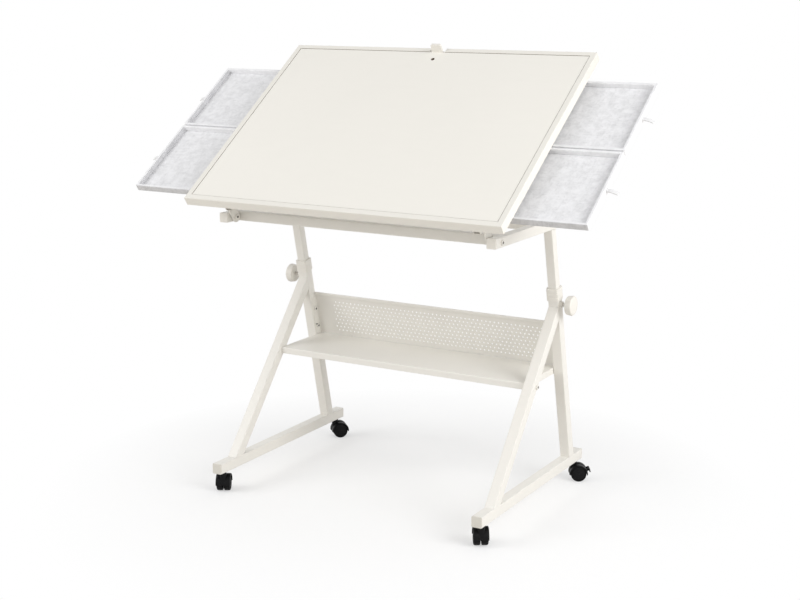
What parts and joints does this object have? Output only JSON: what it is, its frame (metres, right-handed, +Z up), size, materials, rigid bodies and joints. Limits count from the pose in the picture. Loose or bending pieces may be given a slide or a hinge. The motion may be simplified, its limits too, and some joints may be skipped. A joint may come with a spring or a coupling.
{
  "type": "jigsaw puzzle table",
  "caption": "Height-adjustable tilting puzzle table on casters, with a lift-out cover board, pull-out felt sorting trays and a perforated-back shelf.",
  "frame": {"origin": "on the floor, below the middle of the whole table's extents as stored", "axes": "+X to the user's right along the board's long side, +Y away from the user, +Z up"},
  "size_m": [1.33, 0.6366, 1.1596],
  "materials": {
    "frame_paint": "warm white powder coat, satin",
    "board_laminate": "warm white laminated fibreboard",
    "cover_laminate": "warm white laminated hardboard",
    "tray_board": "pale grey covered board",
    "tray_felt": "pale cool grey mottled felt",
    "white_plastic": "warm white moulded plastic",
    "black_plastic": "black moulded plastic",
    "wheel_rubber": "black soft tread",
    "dark_steel": "blackened zinc fasteners"
  },
  "bodies": {
    "base": {"foot_bar_left": "frame_paint", "foot_bar_right": "frame_paint", "foot_bar_caps": "white_plastic", "front_leg_left": "frame_paint", "front_leg_right": "frame_paint", "rear_post_left": "frame_paint", "rear_post_right": "frame_paint", "post_collars": "white_plastic", "clamp_bosses": "dark_steel", "shelf_plate": "frame_paint", "back_panel": "frame_paint", "panel_ears": "frame_paint", "shelf_bolts": "dark_steel"},
    "lift": {"inner_tube_left": "frame_paint", "inner_tube_right": "frame_paint", "side_rail_left": "frame_paint", "side_rail_right": "frame_paint", "rail_caps": "white_plastic", "front_rail": "frame_paint", "rear_rail": "frame_paint", "pivot_bolts": "dark_steel"},
    "board": {"board_frame": "board_laminate", "front_bearer": "frame_paint", "rear_bearer": "frame_paint", "middle_runner": "frame_paint", "tray_stops": "tray_board", "side_bearer_left": "frame_paint", "side_bearer_right": "frame_paint", "hinge_plates": "frame_paint", "prop_pins": "dark_steel"},
    "cover": {"cover_panel": "cover_laminate", "cover_tab": "white_plastic"},
    "tray_front_left": {"tray_front_left": "tray_board", "tray_lining_front_left": "tray_felt", "tray_pull_front_left": "white_plastic"},
    "tray_rear_left": {"tray_rear_left": "tray_board", "tray_lining_rear_left": "tray_felt", "tray_pull_rear_left": "white_plastic"},
    "prop_left": {"tilt_prop_left": "frame_paint"},
    "knob_left": {"clamp_knob_left": "white_plastic", "clamp_stud_left": "dark_steel"},
    "tray_front_right": {"tray_front_right": "tray_board", "tray_lining_front_right": "tray_felt", "tray_pull_front_right": "white_plastic"},
    "tray_rear_right": {"tray_rear_right": "tray_board", "tray_lining_rear_right": "tray_felt", "tray_pull_rear_right": "white_plastic"},
    "prop_right": {"tilt_prop_right": "frame_paint"},
    "knob_right": {"clamp_knob_right": "white_plastic", "clamp_stud_right": "dark_steel"},
    "caster_front_left": {"caster_hood_front_left": "black_plastic"},
    "wheels_front_left": {"caster_wheels_front_left": "wheel_rubber"},
    "caster_front_right": {"caster_hood_front_right": "black_plastic"},
    "wheels_front_right": {"caster_wheels_front_right": "wheel_rubber"},
    "pedal_front_right": {"brake_pedal_front_right": "black_plastic"},
    "caster_rear_left": {"caster_hood_rear_left": "black_plastic"},
    "wheels_rear_left": {"caster_wheels_rear_left": "wheel_rubber"},
    "caster_rear_right": {"caster_hood_rear_right": "black_plastic"},
    "wheels_rear_right": {"caster_wheels_rear_right": "wheel_rubber"},
    "pedal_rear_right": {"brake_pedal_rear_right": "black_plastic"}
  },
  "joints": [
    {"name": "height_slide", "type": "slide", "parent": "base", "child": "lift", "axis": [0, -0.2258, 0.9742], "range_m": [-0.09906, 0.11651]},
    {"name": "board_tilt", "type": "hinge", "parent": "lift", "child": "board", "pos_m": [0.014, -0.2103, 0.728], "axis": [1, 0, 0], "range_deg": [-34.4, 0]},
    {"name": "cover_lift", "type": "slide", "parent": "board", "child": "cover", "axis": [0, -0.565, 0.8251], "range_m": [0, 0.06]},
    {"name": "tray_front_left_slide", "type": "slide", "parent": "board", "child": "tray_front_left", "axis": [-1, 0, 0], "range_m": [-0.208, 0.072]},
    {"name": "tray_rear_left_slide", "type": "slide", "parent": "board", "child": "tray_rear_left", "axis": [-1, 0, 0], "range_m": [-0.208, 0.072]},
    {"name": "prop_left_swing", "type": "hinge", "parent": "board", "child": "prop_left", "pos_m": [-0.348, -0.0569, 0.89691], "axis": [1, 0, 0], "range_deg": [0, 68.8]},
    {"name": "knob_left_turn", "type": "hinge", "parent": "base", "child": "knob_left", "pos_m": [-0.3675, 0.13156, 0.516], "axis": [1, 0, 0], "range_deg": [0, 540]},
    {"name": "tray_front_right_slide", "type": "slide", "parent": "board", "child": "tray_front_right", "axis": [1, 0, 0], "range_m": [-0.18, 0.1]},
    {"name": "tray_rear_right_slide", "type": "slide", "parent": "board", "child": "tray_rear_right", "axis": [1, 0, 0], "range_m": [-0.18, 0.1]},
    {"name": "prop_right_swing", "type": "hinge", "parent": "board", "child": "prop_right", "pos_m": [0.376, -0.0569, 0.89691], "axis": [1, 0, 0], "range_deg": [0, 68.8]},
    {"name": "knob_right_turn", "type": "hinge", "parent": "base", "child": "knob_right", "pos_m": [0.3955, 0.13156, 0.516], "axis": [-1, 0, 0], "range_deg": [0, 540]},
    {"name": "caster_front_left_swivel", "type": "hinge", "parent": "base", "child": "caster_front_left", "pos_m": [-0.3675, -0.2723, 0.056], "axis": [0, 0, 1], "continuous": true},
    {"name": "wheels_front_left_roll", "type": "hinge", "parent": "caster_front_left", "child": "wheels_front_left", "pos_m": [-0.37407, -0.25994, 0.021], "axis": [-0.8829, -0.4695, 0], "continuous": true},
    {"name": "caster_front_right_swivel", "type": "hinge", "parent": "base", "child": "caster_front_right", "pos_m": [0.3955, -0.2723, 0.056], "axis": [0, 0, 1], "continuous": true},
    {"name": "wheels_front_right_roll", "type": "hinge", "parent": "caster_front_right", "child": "wheels_front_right", "pos_m": [0.38808, -0.26043, 0.021], "axis": [-0.848, -0.5299, 0], "continuous": true},
    {"name": "pedal_front_right_lift", "type": "hinge", "parent": "caster_front_right", "child": "pedal_front_right", "pos_m": [0.37341, -0.23696, 0.03332], "axis": [0.848, 0.5299, 0], "range_deg": [0, 30]},
    {"name": "caster_rear_left_swivel", "type": "hinge", "parent": "base", "child": "caster_rear_left", "pos_m": [-0.3675, 0.2757, 0.056], "axis": [0, 0, 1], "continuous": true},
    {"name": "wheels_rear_left_roll", "type": "hinge", "parent": "caster_rear_left", "child": "wheels_rear_left", "pos_m": [-0.3576, 0.2856, 0.021], "axis": [-0.7071, 0.7071, 0], "continuous": true},
    {"name": "caster_rear_right_swivel", "type": "hinge", "parent": "base", "child": "caster_rear_right", "pos_m": [0.3955, 0.2757, 0.056], "axis": [0, 0, 1], "continuous": true},
    {"name": "wheels_rear_right_roll", "type": "hinge", "parent": "caster_rear_right", "child": "wheels_rear_right", "pos_m": [0.40762, 0.2827, 0.021], "axis": [-0.5, 0.866, 0], "continuous": true},
    {"name": "pedal_rear_right_lift", "type": "hinge", "parent": "caster_rear_right", "child": "pedal_rear_right", "pos_m": [0.4316, 0.29654, 0.03332], "axis": [0.5, -0.866, 0], "range_deg": [0, 30]}
  ],
  "couplings": [
    {"joint": "prop_left_swing", "follows": "board_tilt", "ratio": -2},
    {"joint": "prop_right_swing", "follows": "board_tilt", "ratio": -2}
  ]
}
